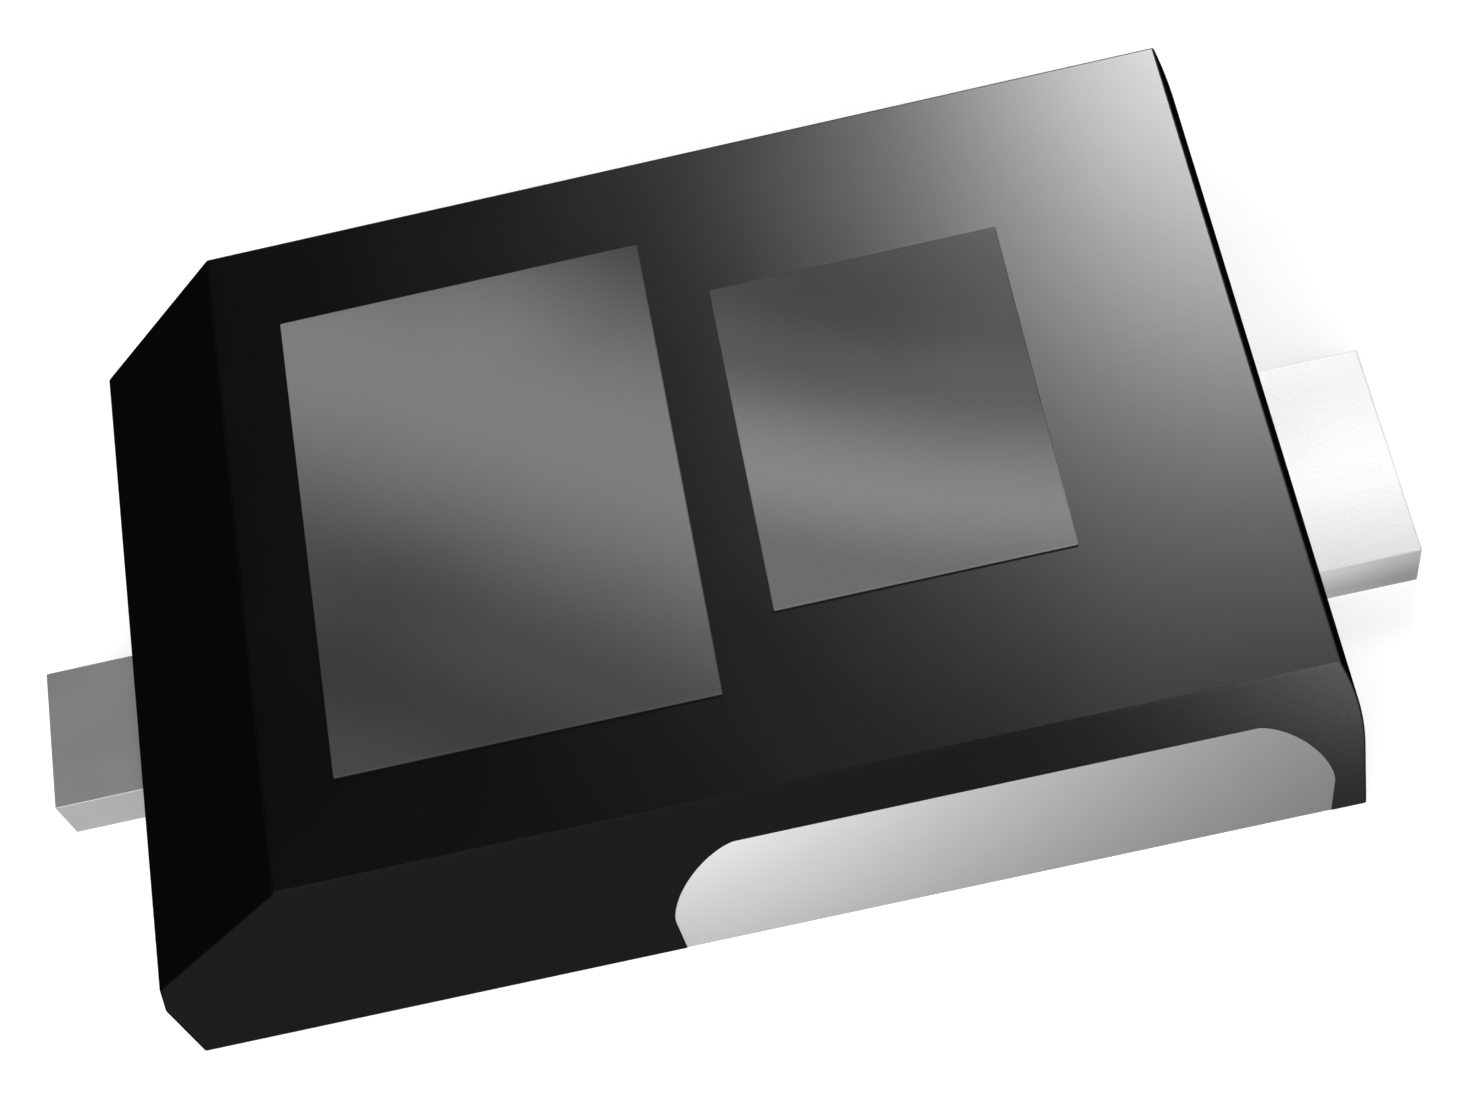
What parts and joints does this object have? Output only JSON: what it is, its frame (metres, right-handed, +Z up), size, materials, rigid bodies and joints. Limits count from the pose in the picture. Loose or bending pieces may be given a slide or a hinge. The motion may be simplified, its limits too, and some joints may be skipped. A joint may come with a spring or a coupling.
{
  "type": "schottky diode",
  "caption": "Flat surface-mount schottky diode: black moulded body with a bevelled anode end, a narrow and a wide flat terminal, and a folded metal frame whose wings show on the sides.",
  "frame": {"origin": "middle of the footprint, on the plane of the solder faces", "axes": "+X from the anode to the cathode, +Y across the body, +Z up from the solder faces"},
  "size_m": [0.004, 0.002, 0.001],
  "materials": {
    "black_epoxy": "fine satin moulding",
    "tin_plate": "satin tin plating",
    "silicon": "polished silicon",
    "solder": "satin solder",
    "grey_ink": "satin printing ink"
  },
  "bodies": {
    "root": {"moulded_body": "black_epoxy", "cathode_frame": "tin_plate", "anode_clip": "tin_plate", "schottky_die": "silicon", "die_attach_solder": "solder", "clip_solder": "solder", "large_mark_field": "grey_ink", "small_mark_field": "grey_ink"}
  },
  "joints": []
}
